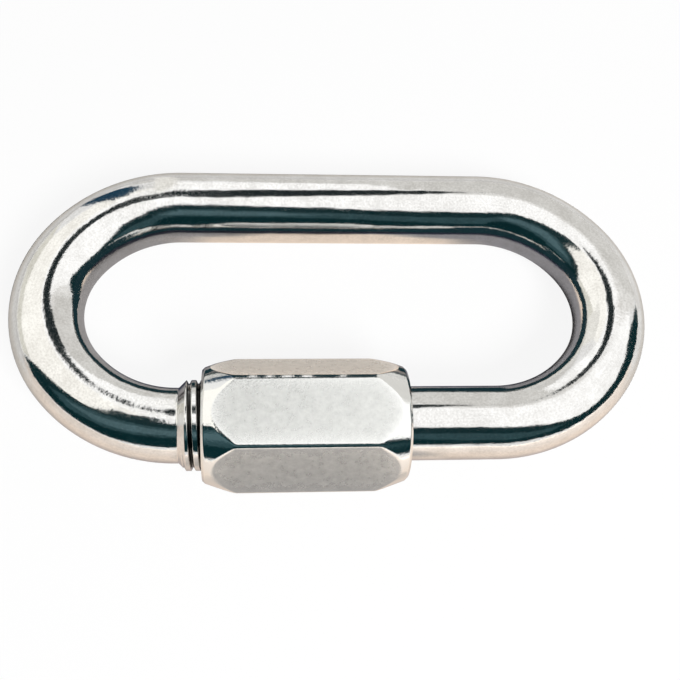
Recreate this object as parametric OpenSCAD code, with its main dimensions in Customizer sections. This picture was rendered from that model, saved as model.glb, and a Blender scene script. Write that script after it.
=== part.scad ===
// Chain quick link: an oval of round rod with an open side, closed by a hexagonal screw sleeve.
// It lies as it comes to rest, with a flat of the sleeve and the plain side bar on the plane z = 0.
// X runs along the link. Y runs across it, with the sleeve on the -Y side. Z is up.
// The origin is under the middle of the whole link.

/* [Rod and eye] */
// Diameter of the round rod
rod_d = 10; // [8:0.5:12]
// Clear length inside the eye
inner_length = 69; // [62:0.5:90]
// Clear width inside the eye
inner_width = 23; // [20:0.5:28]
// How much further each bow reaches than a half circle would
bow_extra = 1.5; // [0:0.1:3]

/* [Studs and thread] */
// Height of the thread above the surface of the rod
thread_rise = 1; // [0.6:0.1:1.4]
// Plain rod between the left bow and the closing thread
closing_setback = 0.3; // [0.2:0.1:3]
// Length of the closing thread on the left stud
closing_thread = 6.5; // [4:0.25:8]
// Length of the carrying thread on the right stud
carrying_thread = 10; // [8:0.5:13]
// Spare width of the mouth, over the rod that has to pass through it
mouth_clearance = 0.5; // [0.2:0.1:2]
// Chamfer on the tip of each stud
tip_chamfer = 0.9; // [0.4:0.1:1.5]
// Length of the cone where a thread runs out into the plain rod
thread_runout = 1; // [0.4:0.1:1.5]

/* [Sleeve] */
// Length of the hexagonal sleeve
sleeve_length = 27.1; // [22:0.1:32]
// Wall between the bore and the flats of the sleeve
sleeve_wall = 1.95; // [1.4:0.05:3]
// Half angle of the cone turned on each end of the sleeve, in degrees
cone_angle = 19.5; // [14:0.5:30]
// How far each cone starts inside the flats
cone_inset = 0.3; // [0:0.1:0.8]
// Broken edge around each end face of the sleeve
end_edge = 0.35; // [0.1:0.05:0.5]
// Countersink at each mouth of the bore
bore_chamfer = 0.4; // [0.2:0.1:0.6]
// Radial running clearance between the bore and the thread
running_clearance = 0.05; // [0.02:0.01:0.1]
// Length of the closing thread left in view beside the sleeve
thread_showing = 3.1; // [0:0.1:4]

/* [Hidden] */
$fn = 96;

// How far a cutting shape passes the face that it cuts
overcut = 1;

// Lengths that fix where faces meet are kept to whole microns, so both faces get the same number
function micron(length) = round(length * 1000) / 1000;

// Bows: two shoulder arcs and a tighter nose arc, tangent to each other and to the straight sides.
// Seen from the centre of either arc, the joint of shoulder and nose lies along a 3-4-5 triangle.
joint = [4, 3];
joint_dir = joint / norm(joint);
rod_r = rod_d / 2;
side_y = micron(inner_width / 2 + rod_r);
bow_reach = side_y + bow_extra;
arc_shift = bow_extra / (joint_dir.x + joint_dir.y - 1);
shoulder_r = side_y + arc_shift * joint_dir.y;
nose_r = bow_reach - arc_shift * joint_dir.x;
straight_half = micron(inner_length / 2 + rod_r - bow_reach);

// Open side, from the left bow to the right one: closing stud, mouth, carrying stud
thread_r = rod_r + thread_rise;
mouth = rod_d + mouth_clearance;
closing_stud = closing_setback + closing_thread;
carrying_stud = 2 * straight_half - closing_stud - mouth;
carrying_plain = carrying_stud - carrying_thread;

// How far the core of a joint reaches each way: within the shorter stud
core_reach = min(rod_r, closing_stud - tip_chamfer);

// Sleeve
bore_r = thread_r + running_clearance;
flat_r = bore_r + sleeve_wall;
corner_r = flat_r / cos(30);
sleeve_x = -straight_half + closing_setback + thread_showing;

// Pose at rest: the side with the sleeve lies higher, so the link leans towards the plain bar
lean = asin((flat_r - rod_r) / (2 * side_y));
middle_z = (flat_r + rod_r) / 2;
middle_y = (corner_r - rod_r) / 2;

// Arc of rod around Z: the part of a ring that lies in a wedge from its centre
module rod_bend(bend_r, wedge) {
    wedge_size = ceil((bend_r + rod_r) / joint.y);
    intersection() {
        rotate([0, 0, 180])
            rotate_extrude()
                translate([bend_r, 0])
                    circle(r = rod_r);
        translate([0, 0, -rod_r - overcut])
            linear_extrude(height = 2 * (rod_r + overcut))
                polygon(wedge_size * wedge);
    }
}

// Double cone at a joint of two lengths of rod, along Y, that reaches into both and makes them one
module joint_core() {
    rotate([90, 0, 0])
        rotate_extrude()
            polygon([[0, -core_reach], [rod_r, 0], [0, core_reach]]);
}

// Bow at the right end of the link: the nose, and a shoulder on each side of it
module bow() {
    far = norm(joint);
    nose_x = straight_half + bow_reach - nose_r;
    translate([nose_x, 0, 0])
        rod_bend(nose_r, [[0, 0], [joint.x, -joint.y], joint]);
    for (side = [0, 1])
        mirror([0, side, 0]) {
            translate([straight_half, side_y - shoulder_r, 0])
                rod_bend(shoulder_r, [[0, 0], joint, [joint.x, far], [0, far]]);
            translate([nose_x, 0, 0])
                rotate([0, 0, atan2(joint.y, joint.x)])
                    translate([nose_r, 0, 0]) joint_core();
            translate([straight_half, side_y, 0])
                rotate([0, 0, 90]) joint_core();
        }
}

// Straight bar on the closed side
module plain_bar() {
    translate([0, side_y, 0])
        rotate([0, 90, 0])
            cylinder(r = rod_r, h = 2 * straight_half, center = true);
}

// Stud along +X: plain rod, then a raised thread, drawn at the height of its crests
module stud(plain, thread) {
    tip = plain + thread;
    rotate([0, 90, 0])
        rotate_extrude()
            polygon([
                [0, 0],
                [rod_r, 0],
                [rod_r, plain],
                [thread_r, plain + thread_runout],
                [thread_r, tip - tip_chamfer],
                [thread_r - tip_chamfer, tip],
                [0, tip]
            ]);
}

// Outline of the sleeve as turned on a lathe: an end face, a broken edge and a cone at each end
module sleeve_turning() {
    end_r = flat_r - cone_inset;
    outer_r = corner_r + overcut;
    cone_length = (outer_r - end_r) / tan(cone_angle);
    rotate_extrude()
        polygon([
            [0, 0],
            [end_r - end_edge, 0],
            [end_r, end_edge],
            [outer_r, end_edge + cone_length],
            [outer_r, sleeve_length - end_edge - cone_length],
            [end_r, sleeve_length - end_edge],
            [end_r - end_edge, sleeve_length],
            [0, sleeve_length]
        ]);
}

// Bore with a countersink at each mouth
module sleeve_bore() {
    mouth_r = bore_r + bore_chamfer + overcut;
    rotate_extrude()
        polygon([
            [0, -overcut],
            [mouth_r, -overcut],
            [bore_r, bore_chamfer],
            [bore_r, sleeve_length - bore_chamfer],
            [mouth_r, sleeve_length + overcut],
            [0, sleeve_length + overcut]
        ]);
}

// Bent rod with a plain bar, two bows and two threaded studs, all one piece
module link_body() {
    color([0.80, 0.80, 0.78])
        translate([0, middle_y, middle_z])
            rotate([-lean, 0, 0]) {
                plain_bar();
                bow();
                mirror([1, 0, 0]) bow();
                translate([-straight_half, -side_y, 0])
                    stud(closing_setback, closing_thread);
                translate([straight_half, -side_y, 0])
                    mirror([1, 0, 0]) stud(carrying_plain, carrying_thread);
            }
}

// Hexagonal sleeve, with a flat down
module hex_sleeve() {
    color([0.72, 0.73, 0.74])
        translate([sleeve_x, middle_y - side_y * cos(lean), flat_r])
            rotate([0, 90, 0])
                difference() {
                    intersection() {
                        rotate([0, 0, 30]) cylinder(r = corner_r, h = sleeve_length, $fn = 6);
                        sleeve_turning();
                    }
                    sleeve_bore();
                }
}

link_body();
hex_sleeve();
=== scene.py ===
# %% [markdown]
# # A chain quick link in polished steel
#
# A quick link is a length of round rod, bent to an oval with one long side left open. A hexagonal
# sleeve screws across the opening and makes it a closed link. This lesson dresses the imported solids:
# it gives the two studs and the sleeve their real screw thread, breaks the sharp edges of the sleeve,
# and sets the link in a small photographic studio, because polished steel is mostly what it reflects.

# %% Load the frame
import math

import bmesh
import bpy
from mathutils import Matrix, Vector


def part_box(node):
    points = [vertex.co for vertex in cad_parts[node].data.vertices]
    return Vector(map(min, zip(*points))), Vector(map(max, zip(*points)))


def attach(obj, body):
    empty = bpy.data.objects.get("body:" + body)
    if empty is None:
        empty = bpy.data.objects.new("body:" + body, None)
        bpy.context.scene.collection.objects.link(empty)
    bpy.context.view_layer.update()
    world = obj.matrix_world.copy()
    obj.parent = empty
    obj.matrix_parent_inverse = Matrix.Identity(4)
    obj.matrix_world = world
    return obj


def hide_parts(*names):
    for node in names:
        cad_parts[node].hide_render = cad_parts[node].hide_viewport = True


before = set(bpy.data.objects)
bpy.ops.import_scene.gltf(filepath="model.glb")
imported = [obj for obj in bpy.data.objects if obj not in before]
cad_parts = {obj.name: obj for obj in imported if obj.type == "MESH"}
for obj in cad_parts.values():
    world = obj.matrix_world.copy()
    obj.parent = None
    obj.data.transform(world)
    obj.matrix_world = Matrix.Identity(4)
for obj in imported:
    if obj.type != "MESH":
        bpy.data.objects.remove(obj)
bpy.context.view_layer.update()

# %% [markdown]
# ## Sizes
#
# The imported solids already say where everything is. The sleeve lies with a flat on the floor, so its
# box gives its ends, its axis and the radius to its flats. The plain bar touches the floor and the
# back of the link's box, so one rod radius in from those faces is its axis. The two axes together
# give the width and the lean of the link. Only small workshop sizes are written out here.

# %% Measure the solids
MM = 0.001
ROD_R = 5 * MM
BOW_EXTRA = 1.5 * MM

link_lo, link_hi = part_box("link_body")
sleeve_lo, sleeve_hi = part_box("hex_sleeve")
FLAT_R = (sleeve_hi.z - sleeve_lo.z) / 2
SLEEVE_LEFT = sleeve_lo.x
SLEEVE_RIGHT = sleeve_hi.x
STUD_AXIS = Vector((0, (sleeve_lo.y + sleeve_hi.y) / 2, sleeve_lo.z + FLAT_R))
BAR_AXIS = Vector((0, link_hi.y - ROD_R, link_lo.z + ROD_R))

ALONG = Vector((1, 0, 0))
ACROSS = (BAR_AXIS - STUD_AXIS).normalized()
PLANE_UP = ALONG.cross(ACROSS)
MIDDLE = (BAR_AXIS + STUD_AXIS) / 2
SIDE = (BAR_AXIS - STUD_AXIS).length / 2
LEAN = math.atan2(-ACROSS.z, ACROSS.y)
BOW_REACH = SIDE + BOW_EXTRA
STRAIGHT_HALF = link_hi.x - ROD_R - BOW_REACH
print(f"half width {SIDE / MM:.2f} mm, lean {math.degrees(LEAN):.2f} degrees")
print(f"straight side {2 * STRAIGHT_HALF / MM:.2f} mm, sleeve {(SLEEVE_RIGHT - SLEEVE_LEFT) / MM:.2f} mm")

# %% [markdown]
# ## The screw thread
#
# The thread is rolled, so it stands a millimetre proud of the rod, with broad crests and narrow
# grooves. A thread could be a displacement or a picture of stripes. Here it is real geometry, because
# the edge of the stud shows it. One formula gives the radius at any place along and around the axis,
# for both studs and for the bore, so that the sleeve meshes with both of them.

# %% Thread form
THREAD_R = ROD_R + 1 * MM
PITCH = 1.25 * MM
ROOT_HALF_SHARE = 0.04
GROOVE_HALF_SHARE = 0.26
FLANK_ANGLE = math.radians(30)
FLANK_SHARE = GROOVE_HALF_SHARE - ROOT_HALF_SHARE
THREAD_DEPTH = FLANK_SHARE * PITCH / math.tan(FLANK_ANGLE)
SHOWN_GROOVE = 1.5 * MM
FIRST_GROOVE_X = SLEEVE_LEFT - SHOWN_GROOVE
CORNER_EASE_SHARE = 0.4


def ease(share):
    """Slow start, slow end, from 0 to 1."""
    share = min(max(share, 0.0), 1.0)
    return share * share * (3 - 2 * share)


def thread_radius(x, angle):
    """Radius of the stud's thread at x and at an angle, which is 0 at +Y and grows towards +Z."""
    turns = (x - FIRST_GROOVE_X) / PITCH - (angle - math.pi / 2) / math.tau
    from_groove = abs((turns + 0.5) % 1 - 0.5)
    height = min(max((from_groove - ROOT_HALF_SHARE) / FLANK_SHARE, 0), 1)
    height += CORNER_EASE_SHARE * (ease(height) - height)
    return THREAD_R - THREAD_DEPTH * (1 - height)


def groove_share(x, angle):
    """How deep in a groove of the thread a place lies, from 0 on a crest to 1 on a root."""
    return (THREAD_R - thread_radius(x, angle)) / THREAD_DEPTH


print(f"thread {2 * THREAD_R / MM:.1f} x {PITCH / MM:.2f} mm, {THREAD_DEPTH / MM:.2f} mm deep")

# %% [markdown]
# ## A grid that winds like the thread
#
# A plain grid would cut across the slanting crests and leave them ragged. This grid is sheared, so
# that each of its rows runs along the helix. After one turn a row meets the row that lies one pitch
# further on. Rows that would pass an end of the stud stop at a plain ring there, and that ring joins
# the next piece of surface.

# %% Screw grid
SNAP_SHARE = 0.3


def screw_grid(bm, angles, x_lo, x_hi, radius_at, rows_per_turn):
    """Adds a surface around the stud's axis from x_lo to x_hi. Returns the vertices of its end rings."""
    step = PITCH / rows_per_turn
    snap = SNAP_SHARE * step
    made = {}

    def vertex(row, column):
        if column == len(angles):
            row, column = row + rows_per_turn, 0
        angle = angles[column]
        x = row * step + PITCH * angle / math.tau
        key = (row, column)
        if x < x_lo + snap:
            x, key = x_lo, ("lo", column)
        elif x > x_hi - snap:
            x, key = x_hi, ("hi", column)
        if key not in made:
            r = radius_at(x, angle)
            place = STUD_AXIS + Vector((x, r * math.cos(angle), r * math.sin(angle)))
            made[key] = bm.verts.new(place)
        return made[key]

    first = math.floor((x_lo - PITCH) / step) - 1
    last = math.ceil(x_hi / step) + 1
    for row in range(first, last):
        for column in range(len(angles)):
            corners = (
                vertex(row, column),
                vertex(row, column + 1),
                vertex(row + 1, column + 1),
                vertex(row + 1, column),
            )
            unique = list(dict.fromkeys(corners))
            if len(unique) > 2:
                bm.faces.new(unique)
    columns = range(len(angles))
    return [made["lo", c] for c in columns], [made["hi", c] for c in columns]


def join_rings(bm, ring_a, ring_b):
    """Fills the band between two rings that have the same number of vertices."""
    for a0, a1, b1, b0 in zip(ring_a, ring_a[1:] + ring_a[:1], ring_b[1:] + ring_b[:1], ring_b):
        bm.faces.new((a0, a1, b1, b0))


def close_ring(bm, ring, inset):
    """Closes a ring with a smaller ring and a flat face, so that the rim of the face keeps its shape."""
    centre = sum((v.co for v in ring), Vector()) / len(ring)
    inner = [bm.verts.new(centre + (v.co - centre) * inset) for v in ring]
    join_rings(bm, ring, inner)
    bm.faces.new(inner)


def finish_mesh(bm, name):
    """Turns a bmesh into a smooth-shaded object in the scene."""
    bmesh.ops.recalc_face_normals(bm, faces=bm.faces)
    for face in bm.faces:
        face.smooth = True
    mesh = bpy.data.meshes.new(name)
    bm.to_mesh(mesh)
    triangles = sum(len(face.verts) - 2 for face in bm.faces)
    bm.free()
    piece = bpy.data.objects.new(name, mesh)
    bpy.context.scene.collection.objects.link(piece)
    print(f"{name}: {len(mesh.vertices)} vertices, {triangles} triangles")
    return piece


# %% [markdown]
# ## The path of the rod
#
# On the bench the rod is bent around a former: a wide shoulder, a tighter nose, and a wide shoulder
# again at each end. A curve object with a bevel could follow that path, but its rings wouldn't meet
# the thread. So the path is walked: each station has a place and the direction that points
# out of the link. Each shoulder meets its nose where a 3-4-5 triangle lies, as in the solids.

# %% Walk the path
JOINT_ANGLE = math.atan2(3, 4)
ARC_SHIFT = BOW_EXTRA / (math.cos(JOINT_ANGLE) + math.sin(JOINT_ANGLE) - 1)
SHOULDER_R = SIDE + ARC_SHIFT * math.sin(JOINT_ANGLE)
NOSE_R = BOW_REACH - ARC_SHIFT * math.cos(JOINT_ANGLE)
NOSE_X = STRAIGHT_HALF + BOW_REACH - NOSE_R
BEND_STEP = 0.6 * MM
STRAIGHT_STEP = 2.5 * MM
SAME_PLACE = 0.01 * MM

CLOSING_SETBACK = 0.3 * MM
CLOSING_THREAD = 6.5 * MM
MOUTH = 10.5 * MM
CARRYING_THREAD = 10 * MM
CLOSING_FOOT = -STRAIGHT_HALF + CLOSING_SETBACK
CLOSING_TIP = CLOSING_FOOT + CLOSING_THREAD
CARRYING_TIP = CLOSING_TIP + MOUTH
CARRYING_FOOT = CARRYING_TIP + CARRYING_THREAD


def straight(x_from, x_to, out):
    """Stations along a straight side; out is +1 on the plain bar and -1 on the open side."""
    count = max(2, round(abs(x_to - x_from) / STRAIGHT_STEP))
    for i in range(count + 1):
        x = x_from + (x_to - x_from) * i / count
        yield Vector((x, out * SIDE)), Vector((0, out)), 0


def bend(centre, radius, start, end):
    """Stations along an arc, clockwise from one angle to another."""
    count = round(radius * abs(end - start) / BEND_STEP)
    for i in range(count + 1):
        angle = start + (end - start) * i / count
        out = Vector((math.cos(angle), math.sin(angle)))
        yield Vector(centre) + radius * out, out, 1


def bow(side, start):
    """Stations around one bow, from the angle start on; side is -1 at the left and +1 at the right."""
    quarter = math.pi / 2
    lift = SIDE - SHOULDER_R
    turn_a = start - (quarter - JOINT_ANGLE)
    turn_b = start - (quarter + JOINT_ANGLE)
    yield from bend((side * STRAIGHT_HALF, side * lift), SHOULDER_R, start, turn_a)
    yield from bend((side * NOSE_X, 0), NOSE_R, turn_a, turn_b)
    yield from bend((side * STRAIGHT_HALF, -side * lift), SHOULDER_R, turn_b, start - 2 * quarter)


walk = [
    *straight(CLOSING_FOOT, -STRAIGHT_HALF, -1),
    *bow(-1, 1.5 * math.pi),
    *straight(-STRAIGHT_HALF, STRAIGHT_HALF, 1),
    *bow(1, 0.5 * math.pi),
    *straight(STRAIGHT_HALF, CARRYING_FOOT, -1),
]
path = [walk[0]]
for station in walk[1:]:
    if (station[0] - path[-1][0]).length > SAME_PLACE:
        path.append(station)
print(f"path: {len(path)} stations, shoulder {SHOULDER_R / MM:.2f} mm, nose {NOSE_R / MM:.2f} mm")

# %% [markdown]
# ## The bent rod and its studs
#
# Each station gets a ring of vertices, and the rings are joined to a tube. The two studs are screw
# grids that start from the last rings of the tube. Each vertex also remembers where it lay on the rod
# before it was bent, in millimetres, as an attribute. The steel uses that later, so that the marks of
# drawing run along the rod and follow it around the bows.

# %% Make the link body
ROUND = 96
RING_ANGLES = [math.tau * i / ROUND for i in range(ROUND)]
THREAD_ROWS = 26
RUNOUT = 1 * MM
TIP_CHAMFER = 0.9 * MM
TIP_INSET = 0.93
# Painted shade in the thread's grooves starts this far past the foot and comes in over the fade.
GROOVE_SHADOW_START = 1.2 * RUNOUT
GROOVE_SHADOW_FADE = 0.5 * RUNOUT


def stud_radius(foot, tip):
    """Radius of a stud: the thread, cut by a cone at its foot and by a chamfer at its tip."""

    def radius_at(x, angle):
        cone = ROD_R + (THREAD_R - ROD_R) * abs(x - foot) / RUNOUT
        chamfer = THREAD_R - TIP_CHAMFER + abs(tip - x)
        return min(thread_radius(x, angle), cone, chamfer)

    return radius_at


def rod_ring(bm, place, out):
    """A ring of the plain rod; its angles count as they do on the studs."""
    centre = MIDDLE + place.x * ALONG + place.y * ACROSS
    outward = out.x * ALONG + out.y * ACROSS
    ring = []
    for angle in RING_ANGLES:
        around = math.pi - LEAN - angle
        direction = math.cos(around) * outward + math.sin(around) * PLANE_UP
        ring.append(bm.verts.new(centre + ROD_R * direction))
    return ring


rod = bmesh.new()
unbent = rod.verts.layers.float_vector.new("unbent")
bent = rod.verts.layers.float.new("bent")
groove_shadow = rod.verts.layers.float.new("groove_shadow")

walked = 0
rings = []
for i, (place, out, bending) in enumerate(path):
    if i:
        walked += (place - path[i - 1][0]).length
    rings.append(rod_ring(rod, place, out))
    for vert, angle in zip(rings[-1], RING_ANGLES):
        vert[unbent] = Vector((walked, ROD_R * math.cos(angle), ROD_R * math.sin(angle))) / MM
        vert[bent] = bending
for ring_a, ring_b in zip(rings, rings[1:]):
    join_rings(rod, ring_a, ring_b)

for foot, tip, end_ring, start in (
    (CLOSING_FOOT, CLOSING_TIP, rings[0], 0),
    (CARRYING_FOOT, CARRYING_TIP, rings[-1], walked),
):
    before = set(rod.verts)
    x_lo, x_hi = sorted((foot, tip))
    lo, hi = screw_grid(rod, RING_ANGLES, x_lo, x_hi, stud_radius(foot, tip), THREAD_ROWS)
    foot_ring, tip_ring = (lo, hi) if foot < tip else (hi, lo)
    close_ring(rod, tip_ring, TIP_INSET)
    for vert in set(rod.verts) - before:
        off = vert.co - STUD_AXIS
        vert[unbent] = Vector((start + foot - off.x, off.y, off.z)) / MM
        # Painted shade: the stud's grooves are darkened, except close to the foot.
        past_foot = ease((abs(off.x - foot) - GROOVE_SHADOW_START) / GROOVE_SHADOW_FADE)
        vert[groove_shadow] = past_foot * groove_share(off.x, math.atan2(off.z, off.y))
    for foot_vert, ring_vert in zip(foot_ring, end_ring):
        bmesh.ops.pointmerge(rod, verts=[ring_vert, foot_vert], merge_co=ring_vert.co)

link = finish_mesh(rod, "bent_rod_link")
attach(link, "link")
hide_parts("link_body")

# %% [markdown]
# ## The hexagonal sleeve
#
# The sleeve is cut from hexagonal bar, turned to a cone at each end, drilled and tapped. A boolean of
# a prism and two cones would leave knife edges. Its outside is a polar surface instead: at each place
# the radius is the smaller of the hexagon and the turning, and an eased minimum breaks the edge
# between them. The hexagon's own corners are true small fillets. Columns lie closer together at the
# corners, and rows at the cones, where the light changes fastest.

# %% Outside of the sleeve
CORNER_FILLET = 0.8 * MM
CONE_SLOPE = math.tan(math.radians(19.5))
CONE_INSET = 0.3 * MM
END_EDGE = 0.35 * MM
CONE_EASE = 0.12 * MM
SECTOR = math.radians(60)
HALF_SECTOR = SECTOR / 2


def hexagon_radius(angle):
    """Radius of a hexagon with a flat on top and filleted corners."""
    from_corner = min(angle % SECTOR, SECTOR - angle % SECTOR)
    centre_r = (FLAT_R - CORNER_FILLET) / math.cos(HALF_SECTOR)
    touch = math.atan2(CORNER_FILLET / 2, centre_r + CORNER_FILLET * math.cos(HALF_SECTOR))
    if from_corner > touch:
        return FLAT_R / math.cos(HALF_SECTOR - from_corner)
    sideways = centre_r * math.sin(from_corner)
    return centre_r * math.cos(from_corner) + math.sqrt(CORNER_FILLET**2 - sideways**2)


def eased_min(a, b, width):
    """The smaller of two lengths, with the corner between them rounded."""
    overlap = max(width - abs(a - b), 0) / width
    return min(a, b) - overlap * overlap * width / 4


def turned_radius(x):
    """Radius that the lathe leaves at x: a broken edge at each end face, then a cone."""
    past_edge = min(x - SLEEVE_LEFT, SLEEVE_RIGHT - x) - END_EDGE
    return FLAT_R - CONE_INSET + past_edge * (1 if past_edge < 0 else CONE_SLOPE)


def spaced(start, end, step):
    """Evenly spaced values from start up to, but not at, end."""
    count = max(1, round(abs(end - start) / step))
    return [start + (end - start) * i / count for i in range(count)]


CORNER_ZONE = math.radians(3.6)
CORNER_STEP = math.radians(0.3)
FLAT_STEP = math.radians(1.467)
SLEEVE_ANGLES = []
for corner in range(6):
    at = corner * SECTOR
    SLEEVE_ANGLES += spaced(at - CORNER_ZONE, at + CORNER_ZONE, CORNER_STEP)
    SLEEVE_ANGLES += spaced(at + CORNER_ZONE, at + SECTOR - CORNER_ZONE, FLAT_STEP)

CONE_ZONE = 5 * MM
END_ROW = 0.09 * MM
CONE_ROW = 0.11 * MM
FLAT_ROW = 1.4 * MM
SLEEVE_ROWS = [
    *spaced(SLEEVE_LEFT, SLEEVE_LEFT + END_EDGE, END_ROW),
    *spaced(SLEEVE_LEFT + END_EDGE, SLEEVE_LEFT + CONE_ZONE, CONE_ROW),
    *spaced(SLEEVE_LEFT + CONE_ZONE, SLEEVE_RIGHT - CONE_ZONE, FLAT_ROW),
    *spaced(SLEEVE_RIGHT - CONE_ZONE, SLEEVE_RIGHT - END_EDGE, CONE_ROW),
    *spaced(SLEEVE_RIGHT - END_EDGE, SLEEVE_RIGHT, END_ROW),
    SLEEVE_RIGHT,
]
print(f"sleeve: {len(SLEEVE_ROWS)} rows, {len(SLEEVE_ANGLES)} columns")

# %% [markdown]
# ## The tapped bore
#
# The bore takes the same thread formula as the studs, a little wider, so the two threads mesh with a
# hair of clearance. At each mouth a countersink cuts the first ridges away, as a drill does before
# tapping. When the sleeve is unscrewed, its open end shows this.

# %% Make the sleeve
BORE_CLEARANCE = 0.08 * MM
COUNTERSINK_R = THREAD_R + 0.45 * MM
BORE_ROWS = 15
BORE_SHARE = 3
RUB_WIDTH = 0.75 * MM


def bore_radius(x, angle):
    """Radius of the tapped bore, opened by a countersink at each end."""
    from_end = min(x - SLEEVE_LEFT, SLEEVE_RIGHT - x)
    return max(thread_radius(x, angle) + BORE_CLEARANCE, COUNTERSINK_R - from_end)


def rub_at(x, angle):
    """1 on the edges of a flat, where spanners and handling rub it bright, down to 0 on its middle."""
    from_corner = min(angle % SECTOR, SECTOR - angle % SECTOR)
    to_corner = FLAT_R * (math.tan(HALF_SECTOR) - math.tan(HALF_SECTOR - from_corner))
    to_cone = (turned_radius(x) - hexagon_radius(angle)) / CONE_SLOPE
    return math.exp(-max(min(to_corner, to_cone), 0) / RUB_WIDTH)


shell = bmesh.new()
rub = shell.verts.layers.float.new("rub")
turned = shell.verts.layers.float.new("turned")
groove_shadow = shell.verts.layers.float.new("groove_shadow")
rings = []
for x in SLEEVE_ROWS:
    ring = []
    for angle in SLEEVE_ANGLES:
        flat, cone = hexagon_radius(angle), turned_radius(x)
        r = eased_min(flat, cone, CONE_EASE)
        vert = shell.verts.new(STUD_AXIS + Vector((x, r * math.cos(angle), r * math.sin(angle))))
        vert[rub] = rub_at(x, angle)
        vert[turned] = 1 if cone < flat else 0
        ring.append(vert)
    rings.append(ring)
for ring_a, ring_b in zip(rings, rings[1:]):
    join_rings(shell, ring_a, ring_b)

outside = set(shell.verts)
BORE_ANGLES = SLEEVE_ANGLES[::BORE_SHARE]
bore_ends = screw_grid(shell, BORE_ANGLES, SLEEVE_LEFT, SLEEVE_RIGHT, bore_radius, BORE_ROWS)
for vert in set(shell.verts) - outside:
    off = vert.co - STUD_AXIS
    # Painted shade: the grooves of the bore are darkened.
    vert[groove_shadow] = 1 - groove_share(off.x, math.atan2(off.z, off.y))
for outer, inner in zip((rings[0], rings[-1]), bore_ends):
    for i in range(len(inner)):
        arc = [outer[(BORE_SHARE * i + k) % len(outer)] for k in range(BORE_SHARE + 1)]
        face = shell.faces.new((*arc, inner[(i + 1) % len(inner)], inner[i]))
        for vert in face.verts:
            vert[turned] = 1
    for ring in (outer, inner):
        for a, b in zip(ring, ring[1:] + ring[:1]):
            shell.edges.get((a, b)).smooth = False

sleeve = finish_mesh(shell, "hexagon_sleeve")
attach(sleeve, "sleeve")
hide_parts("hex_sleeve")

# %% [markdown]
# ## Steel
#
# Both pieces are bare metal, so their colour is the colour of their reflections. What tells the two
# finishes apart is the fine surface: the rod is drawn and tumbled bright, with faint marks along its
# length and a slight orange peel where bending stretched it. The sleeve is machined and left satin.
# A picture texture would need unwrapping. Noise in the coordinates of the unbent rod follows it
# without any. The grooves of the thread, on the studs and in the bore, are painted dark as the shade
# that falls in them, where a vertex attribute puts it.

# %% Helpers for node materials
def node(tree, kind, inputs=None, **settings):
    """Adds a shader node, sets its options, and fills its inputs with values or links."""
    made = tree.nodes.new(kind)
    for key, value in settings.items():
        setattr(made, key, value)
    for key, value in (inputs or {}).items():
        if isinstance(value, bpy.types.NodeSocket):
            tree.links.new(value, made.inputs[key])
        else:
            made.inputs[key].default_value = value
    return made


def noise(tree, where, scale, detail=3, roughness=0.55):
    """Noise between 0 and 1 at a scale in patches per unit of the coordinates."""
    inputs = {"Vector": where, "Scale": scale, "Detail": detail, "Roughness": roughness}
    return node(tree, "ShaderNodeTexNoise", inputs).outputs["Fac"]


def spread(tree, value, low, high, new_low, new_high):
    """Maps a range of values to another range, and holds it there."""
    limits = {"Value": value, "From Min": low, "From Max": high, "To Min": new_low, "To Max": new_high}
    return node(tree, "ShaderNodeMapRange", limits).outputs["Result"]


def reckon(tree, operation, a, b):
    """Works out one value from two others: ADD, MULTIPLY or MAXIMUM."""
    return node(tree, "ShaderNodeMath", {0: a, 1: b}, operation=operation).outputs["Value"]


def vertex_value(tree, name):
    """The value that the vertices carry under a name."""
    return node(tree, "ShaderNodeAttribute", attribute_name=name).outputs["Fac"]


def blend(tree, share, first, second):
    """Goes from one colour to another as a share goes from 0 to 1. Each may be a colour or a link."""
    inputs = {"Factor": share}
    for side, colour in (("A", first), ("B", second)):
        linked = isinstance(colour, bpy.types.NodeSocket)
        inputs[side] = colour if linked else (*colour, 1)
    return node(tree, "ShaderNodeMix", inputs, data_type="RGBA").outputs["Result"]


def stretched(tree, where, scale):
    """Coordinates scaled along each axis, so that noise becomes streaks."""
    return node(tree, "ShaderNodeMapping", {"Vector": where, "Scale": scale}).outputs["Vector"]


def bump(tree, height, distance, below=None):
    """Raises the surface by a height; below is the bump that it lies on."""
    made = node(tree, "ShaderNodeBump", {"Height": height, "Distance": distance})
    if below is not None:
        tree.links.new(below, made.inputs["Normal"])
    return made.outputs["Normal"]


def steel(name):
    """An empty metal material; returns the material, its tree and its shader."""
    material = bpy.data.materials.new(name)
    material.use_nodes = True
    shader = material.node_tree.nodes["Principled BSDF"]
    shader.inputs["Metallic"].default_value = 1
    return material, material.node_tree, shader


NOISE_SPAN = (0.3, 0.7)
# Dark colour of the painted shade in the thread's grooves.
GROOVE_SHADOW_COLOUR = (0.040, 0.039, 0.037)
GROOVE_SHADOW_SPAN = (0.1, 0.7)


def groove_shadowed(tree, colour):
    """A colour that turns to painted shade where the vertices carry it, in the grooves of the thread."""
    share = spread(tree, vertex_value(tree, "groove_shadow"), *GROOVE_SHADOW_SPAN, 0, 1)
    return blend(tree, share, colour, GROOVE_SHADOW_COLOUR)


# %% Bright drawn steel of the rod
ROD_DULL = (0.66, 0.65, 0.63)
ROD_CLEAN = (0.82, 0.815, 0.80)
CLOUD_SPAN = (0.75, 1.25)
SPECK_SPAN = (0.35, 0.7)
ROD_ROUGHNESS = (0.07, 0.13)
STREAK_STRETCH = (0.16, 1, 1)
WAVE_DEPTH = 0.05 * MM
PEEL_DEPTH = 0.011 * MM
STREAK_DEPTH = 0.0065 * MM

bright, tree, shader = steel("bright_drawn_steel")
straight_place = node(tree, "ShaderNodeAttribute", attribute_name="unbent").outputs["Vector"]

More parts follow.
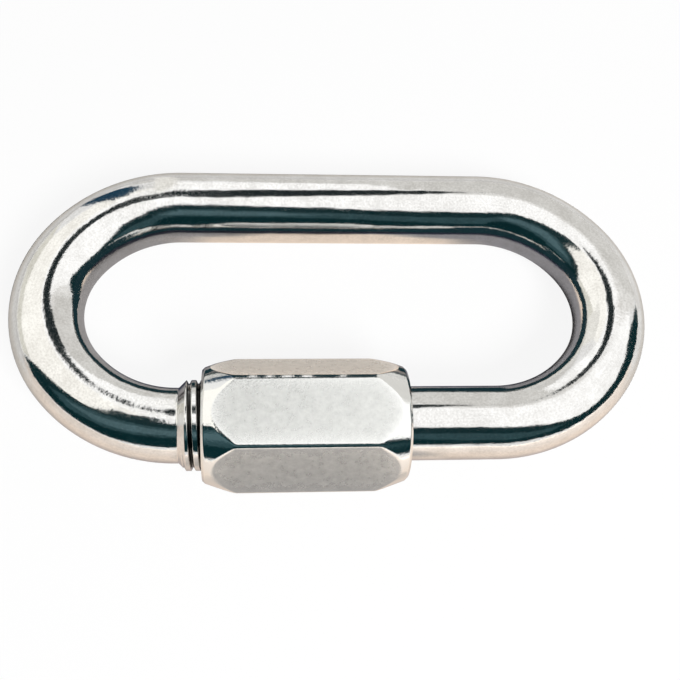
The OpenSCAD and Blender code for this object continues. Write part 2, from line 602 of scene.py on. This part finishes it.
drawn = noise(tree, stretched(tree, straight_place, STREAK_STRETCH), scale=2.6, detail=3)
peel = noise(tree, straight_place, scale=1.7, detail=2)
wave = noise(tree, straight_place, scale=0.22, detail=1)
cloud = noise(tree, straight_place, scale=0.35, detail=4)
specks = noise(tree, straight_place, scale=3.5, detail=2)

clouded = spread(tree, reckon(tree, "ADD", cloud, specks), *CLOUD_SPAN, 0, 1)
clean = blend(tree, clouded, ROD_DULL, ROD_CLEAN)
tree.links.new(groove_shadowed(tree, clean), shader.inputs["Base Color"])
tree.links.new(spread(tree, specks, *SPECK_SPAN, *ROD_ROUGHNESS), shader.inputs["Roughness"])
bent_peel = reckon(tree, "MULTIPLY", peel, vertex_value(tree, "bent"))
waved = bump(tree, wave, WAVE_DEPTH)
peeled = bump(tree, bent_peel, PEEL_DEPTH, waved)
streaked = bump(tree, drawn, STREAK_DEPTH, peeled)
tree.links.new(streaked, shader.inputs["Normal"])
link.data.materials.append(bright)
print("link finish:", bright.name)

# %% [markdown]
# The satin of the sleeve is a rougher metal with a mottled sheen. The attribute `rub` polishes the
# edges of the flats, and `turned` draws the fine rings that the lathe left on the cones and ends.

# %% Satin steel of the sleeve
PER_MM = 1 / MM
SLEEVE_DULL = (0.60, 0.605, 0.585)
SLEEVE_CLEAN = (0.765, 0.77, 0.745)
RUBBED_BRIGHT = (0.82, 0.82, 0.80)
SATIN_ROUGHNESS = (0.26, 0.34)
EDGE_POLISH = 0.2
TURNING_POLISH = 0.16
ROUGHNESS_LIMITS = (0.08, 0.5)
RING_STRETCH = (6, 0.2, 0.2)
GRAIN_DEPTH = 0.012 * MM
RING_DEPTH = 0.008 * MM

satin, tree, shader = steel("satin_machined_steel")
place = node(tree, "ShaderNodeTexCoord").outputs["Object"]
rubbed = vertex_value(tree, "rub")
lathe = vertex_value(tree, "turned")

mottle = noise(tree, place, scale=1.1 * PER_MM, detail=4, roughness=0.6)
grain = noise(tree, place, scale=3.2 * PER_MM, detail=2)
rings_cut = noise(tree, stretched(tree, place, RING_STRETCH), scale=1.2 * PER_MM, detail=2)

dulled = blend(tree, spread(tree, mottle, *NOISE_SPAN, 0, 1), SLEEVE_DULL, SLEEVE_CLEAN)
sheen = blend(tree, rubbed, dulled, RUBBED_BRIGHT)
tree.links.new(groove_shadowed(tree, sheen), shader.inputs["Base Color"])
dull = spread(tree, mottle, *NOISE_SPAN, *SATIN_ROUGHNESS)
edged = reckon(tree, "ADD", dull, spread(tree, rubbed, 0, 1, 0, -EDGE_POLISH))
rough = reckon(tree, "ADD", edged, spread(tree, lathe, 0, 1, 0, -TURNING_POLISH))
held = spread(tree, rough, *ROUGHNESS_LIMITS, *ROUGHNESS_LIMITS)
tree.links.new(held, shader.inputs["Roughness"])
grained = bump(tree, grain, GRAIN_DEPTH)
ringed = bump(tree, reckon(tree, "MULTIPLY", rings_cut, lathe), RING_DEPTH, grained)
tree.links.new(ringed, shader.inputs["Normal"])
sleeve.data.materials.append(satin)
print("sleeve finish:", satin.name)

# %% [markdown]
# ## Floor and plain light
#
# The link lies on a plain pale floor. A share of glow lifts the floor towards white, for the camera
# and for reflections, and the rest of it takes the light and keeps the link's shadow. One soft lamp
# in front at the right lights the link from above, and an even sky fills in. The lamp doesn't show
# in the steel: cards do that job.

# %% Floor, sky and lamp
FLOOR_HALF = 1.5
FLOOR_GAP = 0.02 * MM
FLOOR_GLOW = 0.90
FLOOR_COLOUR = (0.96, 0.96, 0.96)
WHITE = (1, 1, 1)


def sheet(name, half, below):
    """A square sheet on the floor of the studio."""
    bm = bmesh.new()
    bmesh.ops.create_grid(bm, x_segments=1, y_segments=1, size=half)
    made = finish_mesh(bm, name)
    made.location.z = -below
    return made


def paper(name, colour):
    """Matt paper; returns the material, its tree and its shader."""
    material = bpy.data.materials.new(name)
    material.use_nodes = True
    shader = material.node_tree.nodes["Principled BSDF"]
    shader.inputs["Base Color"].default_value = (*colour, 1)
    shader.inputs["Roughness"].default_value = 1
    shader.inputs["Specular IOR Level"].default_value = 0
    return material, material.node_tree, shader


def seen_rays(tree):
    """1 for rays from the camera and for reflected or refracted ones, 0 for rays that only light things."""
    rays = node(tree, "ShaderNodeLightPath").outputs
    either = reckon(tree, "MAXIMUM", rays["Is Camera Ray"], rays["Is Glossy Ray"])
    return reckon(tree, "MAXIMUM", either, rays["Is Transmission Ray"])


floor = sheet("studio_floor", FLOOR_HALF, 2 * FLOOR_GAP)
pale, tree, shader = paper("pale_paper", FLOOR_COLOUR)
glow = node(tree, "ShaderNodeEmission", {"Color": (*WHITE, 1), "Strength": 1}).outputs["Emission"]
share = spread(tree, seen_rays(tree), 0, 1, 0, FLOOR_GLOW)
lifted = node(tree, "ShaderNodeMixShader", {0: share, 1: shader.outputs["BSDF"], 2: glow})
tree.links.new(lifted.outputs["Shader"], tree.nodes["Material Output"].inputs["Surface"])
floor.data.materials.append(pale)

SKY_FILL = 0.22
sky = bpy.data.worlds.new("white_sky")
bpy.context.scene.world = sky
sky.use_nodes = True
tree = sky.node_tree
background = tree.nodes["Background"]
background.inputs["Color"].default_value = (*WHITE, 1)
tree.links.new(spread(tree, seen_rays(tree), 0, 1, SKY_FILL, 1), background.inputs["Strength"])

LAMP_SIZE = 0.22
LAMP_PLACE = Vector((0.19, -0.33, 0.46))
LAMP_WATTS = 3.6
softlamp = bpy.data.lights.new("front_lamp", "AREA")
softlamp.size = LAMP_SIZE
softlamp.energy = LAMP_WATTS
lamp = bpy.data.objects.new("front_lamp", softlamp)
lamp.location = LAMP_PLACE
lamp.rotation_euler = (-LAMP_PLACE).to_track_quat("-Z", "Y").to_euler()
lamp.visible_glossy = False
bpy.context.scene.collection.objects.link(lamp)
print(f"floor {2 * FLOOR_HALF} m wide, lamp {LAMP_WATTS} W")

# %% [markdown]
# ## Cards for the steel to reflect
#
# A photographer shapes polished metal with cards: white ones make broad highlights, and a dark cloth
# makes the deep bands that draw its roundness. The cards are drawn on a flat map of the sky, in which
# the middle is straight up, the rim is the horizon, right is +X and up is +Y, and equal areas of sky
# take equal areas of the map. Each outline is then lifted onto a dome. A dome is far away, so small
# upright flags close to the rod shape the lines that the dome can't. Only reflections see either.

# %% Card makers
DOME_R = 0.45
CARD_CUTS = 4
CLOUD_SCALE = 25
CLOUD_LEVELS = (0.93, 1.05)


def for_steel_only(piece):
    """Lets only reflections see a card."""
    piece.visible_camera = False
    piece.visible_diffuse = False
    piece.visible_shadow = False
    piece.visible_transmission = False
    return piece


def glowing(piece, colour, strength, one_way=False):
    """Gives a card an even glow with faint clouds in it. A one-way card can't be seen from behind."""
    glow = bpy.data.materials.new(piece.name)
    glow.use_nodes = True
    tree = glow.node_tree
    clouds = noise(tree, node(tree, "ShaderNodeTexCoord").outputs["Object"], CLOUD_SCALE, detail=4)
    level = spread(tree, clouds, *NOISE_SPAN, *(strength * share for share in CLOUD_LEVELS))
    light = node(tree, "ShaderNodeEmission", {"Color": (*colour, 1), "Strength": level}).outputs["Emission"]
    if one_way:
        behind = node(tree, "ShaderNodeNewGeometry").outputs["Backfacing"]
        clear = node(tree, "ShaderNodeBsdfTransparent").outputs["BSDF"]
        light = node(tree, "ShaderNodeMixShader", {0: behind, 1: light, 2: clear}).outputs["Shader"]
    tree.links.new(light, tree.nodes["Material Output"].inputs["Surface"])
    piece.data.materials.append(glow)


def card(name, outline, colour, strength=1, dome_r=DOME_R, centre=(0, 0, 0)):
    """A glowing card on a dome, from its outline on the sky map."""
    bm = bmesh.new()
    bm.faces.new([bm.verts.new((u, v, 0)) for u, v in outline])
    bmesh.ops.triangulate(bm, faces=bm.faces)
    for _ in range(CARD_CUTS):
        bmesh.ops.subdivide_edges(bm, edges=bm.edges, cuts=1, use_grid_fill=True)
    for vert in bm.verts:
        u, v, _ = vert.co
        spread_out = math.sqrt(max(2 - u * u - v * v, 0))
        vert.co = Vector(centre) + dome_r * Vector((u * spread_out, v * spread_out, 1 - u * u - v * v))
    glowing(for_steel_only(finish_mesh(bm, name)), colour, strength)


def flag(name, start, end, colour):
    """A small upright card from start to end, each x, y, lower z and upper z in mm. Seen from its right."""
    corners = [start[:3], end[:3], (*end[:2], end[3]), (*start[:2], start[3])]
    mesh = bpy.data.meshes.new(name)
    mesh.from_pydata([MM * Vector(corner) for corner in corners], [], [(0, 1, 2, 3)])
    piece = bpy.data.objects.new(name, mesh)
    bpy.context.scene.collection.objects.link(piece)
    glowing(for_steel_only(piece), colour, 1, one_way=True)


# %% Dark cards
card(
    "dark_cloth",
    [
        (-0.99, -0.02), (-0.80, -0.06), (-0.60, -0.11), (-0.45, -0.17), (-0.36, -0.15), (-0.30, -0.08),
        (-0.24, 0.0), (-0.18, 0.06), (-0.13, 0.09), (-0.11, 0.03), (-0.10, -0.08), (-0.06, -0.14),
        (0.0, -0.19), (0.05, -0.22), (0.10, -0.29), (0.17, -0.335), (0.28, -0.33), (0.36, -0.36),
        (0.45, -0.41), (0.60, -0.44), (0.72, -0.40), (0.78, -0.28), (0.80, -0.12), (0.77, 0.03),
        (0.70, 0.13), (0.70, 0.20), (0.78, 0.25), (0.86, 0.30), (0.91, 0.32), (0.955, 0.28),
        (0.98, 0.18), (0.993, 0.09), (0.996, 0.0), (0.992, -0.10), (0.98, -0.18), (0.96, -0.27),
        (0.93, -0.36), (0.80, -0.57), (0.65, -0.70), (0.50, -0.77), (0.35, -0.84), (0.20, -0.91),
        (0.0, -0.93), (-0.20, -0.90), (-0.40, -0.86), (-0.60, -0.77), (-0.78, -0.60), (-0.90, -0.40),
        (-0.975, -0.20),
    ],
    colour=(0.004, 0.026, 0.031),
)
card(
    "cloth_fold",
    [
        (-0.78, -0.22), (-0.55, -0.24), (-0.30, -0.22), (-0.14, -0.26), (-0.02, -0.36), (0.08, -0.44),
        (0.14, -0.54), (0.42, -0.54), (0.60, -0.52), (0.56, -0.62), (0.40, -0.70), (0.20, -0.78),
        (0.10, -0.66), (0.0, -0.60), (-0.25, -0.58), (-0.50, -0.56), (-0.72, -0.42),
    ],
    colour=(0.035, 0.080, 0.092),
    dome_r=0.99 * DOME_R,
)
card(
    "fold_ridge",
    [
        (-0.66, -0.29), (-0.45, -0.30), (-0.25, -0.29), (-0.10, -0.36), (0.0, -0.42), (0.06, -0.50),
        (0.0, -0.55), (-0.25, -0.50), (-0.50, -0.46),
    ],
    colour=(0.085, 0.155, 0.175),
    dome_r=0.98 * DOME_R,
)
card(
    "dark_lamp_head",
    [
        (-0.095, 0.265), (-0.115, 0.31), (-0.11, 0.36), (-0.085, 0.41), (-0.065, 0.455), (-0.025, 0.49),
        (0.04, 0.515), (0.12, 0.545), (0.17, 0.51), (0.195, 0.465), (0.175, 0.425), (0.13, 0.365),
        (0.10, 0.315), (0.075, 0.28), (0.03, 0.255), (0.0, 0.215), (-0.03, 0.17), (-0.05, 0.155),
        (-0.08, 0.165),
    ],
    colour=(0.010, 0.018, 0.020),
    dome_r=0.8 * DOME_R,
)
card(
    "blue_cloth",
    [
        (-0.13, 0.52), (-0.28, 0.66), (-0.42, 0.77), (-0.56, 0.88), (-0.40, 0.90), (-0.30, 0.90),
        (-0.22, 0.88), (-0.17, 0.80), (-0.14, 0.66),
    ],
    colour=(0.014, 0.055, 0.100),
    dome_r=90 * MM,
    centre=(-27 * MM, 14 * MM, 8 * MM),
)

# %% [markdown]
# The flags stand in the eye, each where one stretch of the rod or of the sleeve faces it. They can't be
# seen from behind, so a flag for one side of the eye doesn't darken the other. The row of edge shades
# behind the sleeve makes the broken dark line along the rear edge of its upper flat.

# %% Flags
# The teal flags and the fawn flag are painted shade: the inner rims and the sleeve's rear face reflect them
# as the dark of the shade inside the eye.
TEAL = (0.012, 0.036, 0.045)
FAWN = (0.80, 0.73, 0.67)
FLAGS = {
    "flag_to_bar": ((30, -3, 1, 11), (10, -3, 2.8, 6.9)),
    "flag_to_bar_left": ((10, -3, 2.8, 6.9), (-30, -3, 2.8, 6.9)),
    "flag_to_left_nose": ((-20, 14, 0, 3.5), (-20, 9.2, 0, 7)),
    "flag_to_left_bow": ((-20, 9.2, 0, 9), (-20, 7.6, 0, 12)),
    "flag_to_left_turn": ((-20, 7.6, 0, 12), (-20, 6, 5.2, 13)),
    "flag_to_left_bend": ((-20, 6, 5.2, 13), (-20, 1, 6.5, 10.5)),
    "flag_to_left_foot": ((-33.5, 3.9, 7.4, 8.6), (-19, 3.9, 1, 7.5)),
    "flag_to_right_turn": ((12, -8.5, 7, 13.5), (12, -3, 2, 13)),
    "flag_to_right_bow": ((12, -3, 2, 13), (12, 13, 2, 9)),
    "flag_to_right_foot": ((20.5, 8, 4.5, 8.6), (31, 8, 3, 8.2)),
    "flag_to_stud": ((11, 0, 2.5, 8.5), (25, 0, 2.5, 8.5)),
}
for name, (start, end) in FLAGS.items():
    flag(name, start, end, TEAL)
flag("flag_to_sleeve", (-19, 2, 0, 6), (10, 2, 0, 6), FAWN)

EDGE_SHADES = [(-17.4, -11.8), (-11, -9.6), (-8.7, -7.4), (-6, -4.7), (-3.4, 0.5), (1.2, 6.3)]
EDGE_SHADE_PLACE = (-2, 12.5, 24)
for index, (start, end) in enumerate(EDGE_SHADES):
    flag(f"edge_shade_{index}", (start, *EDGE_SHADE_PLACE), (end, *EDGE_SHADE_PLACE), TEAL)
print(f"{len(FLAGS) + 1} flags and {len(EDGE_SHADES)} edge shades")

# %% Light cards
CREAM = (1, 0.985, 0.94)

card(
    "overhead_softbox",
    [
        (-0.15, -0.45), (0.60, -0.50), (0.85, -0.25), (0.82, 0.10), (0.60, 0.30), (0.30, 0.36),
        (0.21, 0.42), (0.13, 0.58), (0.10, 0.80), (-0.12, 0.82), (-0.15, 0.50),
    ],
    colour=WHITE,
    strength=1.29,
    dome_r=1.1 * DOME_R,
)
card(
    "side_softbox",
    [
        (-0.14, -0.20), (-0.86, -0.10), (-0.84, 0.18), (-0.73, 0.40), (-0.52, 0.62), (-0.30, 0.70),
        (-0.14, 0.60),
    ],
    colour=CREAM,
    strength=1.24,
    dome_r=1.2 * DOME_R,
)
flag("white_screen", (-30, 50, 0, 80), (-30, 125, 0, 80), CREAM)
card(
    "grey_edge",
    [
        (0.10, 0.53), (0.18, 0.37), (0.34, 0.31), (0.60, 0.28), (0.86, 0.30), (0.85, 0.38), (0.60, 0.35),
        (0.35, 0.37), (0.21, 0.42), (0.12, 0.56),
    ],
    colour=(0.97, 0.96, 0.94),
    dome_r=1.05 * DOME_R,
)
card(
    "grey_wall",
    [
        (0.12, 0.56), (0.21, 0.42), (0.35, 0.37), (0.60, 0.35), (0.85, 0.38), (0.93, 0.34), (0.80, 0.60),
        (0.55, 0.83), (0.30, 0.95), (0.0, 0.995), (-0.30, 0.95), (-0.30, 0.90), (-0.05, 0.87), (0.08, 0.80),
    ],
    colour=(0.80, 0.79, 0.765),
    dome_r=1.3 * DOME_R,
)
card(
    "olive_wall",
    [
        (-0.99, 0.0), (-0.84, -0.02), (-0.82, 0.18), (-0.72, 0.40), (-0.52, 0.62), (-0.60, 0.79),
        (-0.80, 0.59), (-0.95, 0.28),
    ],
    colour=(0.86, 0.845, 0.77),
    dome_r=1.3 * DOME_R,
)

# %% [markdown]
# The lowest card is a mat on the floor. The rims of the rod show it, so it is painted to suit: warm
# and bright in front and inside the eye and greyer elsewhere, partly the tone of a table and partly
# painted light and shade from the lamp in front, and dark inside the bows and close to the rod, where a
# link on a table stands in its own shade. A cool patch lies in front of the sleeve. Away from the link,
# out of its painted shade, the mat gets paler, and far out it glows a little, so that the horizon makes
# no dark line on the rims.

# %% Plan of the mat's paint, in millimetres from the middle of the link
WARM_HALF_FRONT = 8
WARM_HALF_BACK = 16
WARM_WIDENS = (2, 8)
BOW_FADE = 8
LEFT_BOW_SHADE = 0.48
RIGHT_BOW_SHADE = 0.62
BEHIND_SLEEVE = (0, 4)
IN_FRONT = (6, 22)
PATCH_NEAR = (26, 34)
PATCH_FAR = (80, 120)
PATCH_MIDDLE = -3
PATCH_SIDE = (15, 21)
PATCH_SHADE = 0.4
CONTACT = (0, 9)
CONTACT_SHADE = 0.4
CONTACT_SHADE_IN_FRONT = 0.6
PALER = (2, 32)
PALENESS = 0.75
PALENESS_IN_FRONT = 0.3
FAR_OUT = (100, 350)


def rise(value, start, end):
    """Eases from 0 to 1 while a value goes from start to end."""
    return ease((value - start) / (end - start))


def between(low, high, share):
    """The value that lies a share of the way from low to high."""
    return low + (high - low) * share


def paint_in_eye(x, y):
    """Warmth and shade of the mat inside the link."""
    warm_half = between(WARM_HALF_FRONT, WARM_HALF_BACK, rise(y, *WARM_WIDENS))
    in_bow = rise(abs(x), warm_half, warm_half + BOW_FADE)
    bow_shade = RIGHT_BOW_SHADE if x > 0 else LEFT_BOW_SHADE
    return 1 - in_bow, max(bow_shade * in_bow, rise(-y, *BEHIND_SLEEVE))


def paint_around(x, y, gap):
    """Warmth, shade and paleness of the mat outside the link; gap is how far away the rod is."""
    in_front = rise(-y, *IN_FRONT)
    patch = rise(-y, *PATCH_NEAR) * (1 - rise(-y, *PATCH_FAR))
    patch *= 1 - rise(abs(x - PATCH_MIDDLE), *PATCH_SIDE)
    contact = between(CONTACT_SHADE, CONTACT_SHADE_IN_FRONT, in_front) * (1 - rise(gap, *CONTACT))
    paleness = between(PALENESS, PALENESS_IN_FRONT, in_front) * rise(gap, *PALER) * (1 - patch)
    return in_front * (1 - patch), max(PATCH_SHADE * patch, contact), paleness


# %% Painted mat
MAT_HALF = 600 * MM
MAT_CELLS = 84
MAT_INNER_SHARE = 0.15
OVAL_POWER = 2.6
MOUTH_STOPS = range(-20, 7, 3)

rod_line = [place for place, _, _ in path[::4]]
rod_line += [Vector((x * MM, -SIDE)) for x in MOUTH_STOPS]
mat_bm = bmesh.new()
bmesh.ops.create_grid(mat_bm, x_segments=MAT_CELLS, y_segments=MAT_CELLS, size=1)
warm = mat_bm.verts.layers.float.new("warm")
shade = mat_bm.verts.layers.float.new("shade")
lift = mat_bm.verts.layers.float.new("lift")
far = mat_bm.verts.layers.float.new("far")
for vert in mat_bm.verts:
    for axis in range(2):
        t = vert.co[axis]
        vert.co[axis] = MAT_HALF * t * (MAT_INNER_SHARE + (1 - MAT_INNER_SHARE) * t * t)
    spot = Vector((vert.co.x, vert.co.y - MIDDLE.y))
    gap = (min((spot - place).length for place in rod_line) - ROD_R) / MM
    length_share = abs(spot.x) / (link_hi.x - ROD_R)
    width_share = abs(spot.y) / SIDE
    if length_share**OVAL_POWER + width_share**OVAL_POWER < 1:
        vert[warm], vert[shade] = paint_in_eye(*spot / MM)
    else:
        vert[warm], vert[shade], vert[lift] = paint_around(*spot / MM, gap)
        vert[far] = rise(gap, *FAR_OUT)
mat = for_steel_only(finish_mesh(mat_bm, "painted_mat"))
mat.location.z = -FLOOR_GAP

# %% Paint of the mat
# WARM is the lit part of the mat, GREY partly the mat's tone and partly painted shade, SHADE painted shade.
WARM = (0.96, 0.81, 0.69)
GREY = (0.64, 0.60, 0.55)
SHADE = (0.12, 0.13, 0.19)
FAR_GLOW = (0.42, 0.41, 0.38)

paint, tree, shader = paper("mat_paint", GREY)
warmed = blend(tree, vertex_value(tree, "warm"), GREY, WARM)
toned = blend(tree, vertex_value(tree, "shade"), warmed, SHADE)
paler = blend(tree, vertex_value(tree, "lift"), toned, WHITE)
tree.links.new(paler, shader.inputs["Base Color"])
shader.inputs["Emission Color"].default_value = (*FAR_GLOW, 1)
tree.links.new(vertex_value(tree, "far"), shader.inputs["Emission Strength"])
mat.data.materials.append(paint)
print("mat paint:", paint.name)

# %% [markdown]
# ## Camera
#
# The camera looks down on the link from in front and a little to the left, from quite close, so the
# near side looks larger than the far one. It is turned about its own line of sight until the plain
# bar lies level in the picture. Its lens is worked out for a square picture, 680 pixels on a side.

# %% Camera
IMAGE_SIDE = 680
SENSOR = 36
AZIMUTH = math.radians(-17.14)
ELEVATION = math.radians(71.86)
ROLL = math.radians(-16.20)
FOCAL_PIXELS = 1031.6
DISTANCE = 144.97 * MM
SHIFT_RIGHT = -0.840 * MM
SHIFT_UP = 3.950 * MM
NEAR_CLIP = 3 * MM

back = Vector((
    math.sin(AZIMUTH) * math.cos(ELEVATION),
    -math.cos(AZIMUTH) * math.cos(ELEVATION),
    math.sin(ELEVATION),
))
level_right = Vector((math.cos(AZIMUTH), math.sin(AZIMUTH), 0))
level_up = back.cross(level_right)
right = math.cos(ROLL) * level_right - math.sin(ROLL) * level_up
up = math.sin(ROLL) * level_right + math.cos(ROLL) * level_up
eye = MIDDLE + DISTANCE * back - SHIFT_RIGHT * right - SHIFT_UP * up

lens = bpy.data.cameras.new("camera")
lens.sensor_width = SENSOR
lens.lens = FOCAL_PIXELS / IMAGE_SIDE * SENSOR
lens.clip_start = NEAR_CLIP
camera = bpy.data.objects.new("camera", lens)
camera.matrix_world = Matrix((
    (right.x, up.x, back.x, eye.x),
    (right.y, up.y, back.y, eye.y),
    (right.z, up.z, back.z, eye.z),
    (0, 0, 0, 1),
))
bpy.context.scene.collection.objects.link(camera)
bpy.context.scene.camera = camera
bpy.context.scene.view_settings.view_transform = "Standard"
print(f"lens {lens.lens:.1f} mm, {DISTANCE / MM:.0f} mm away")
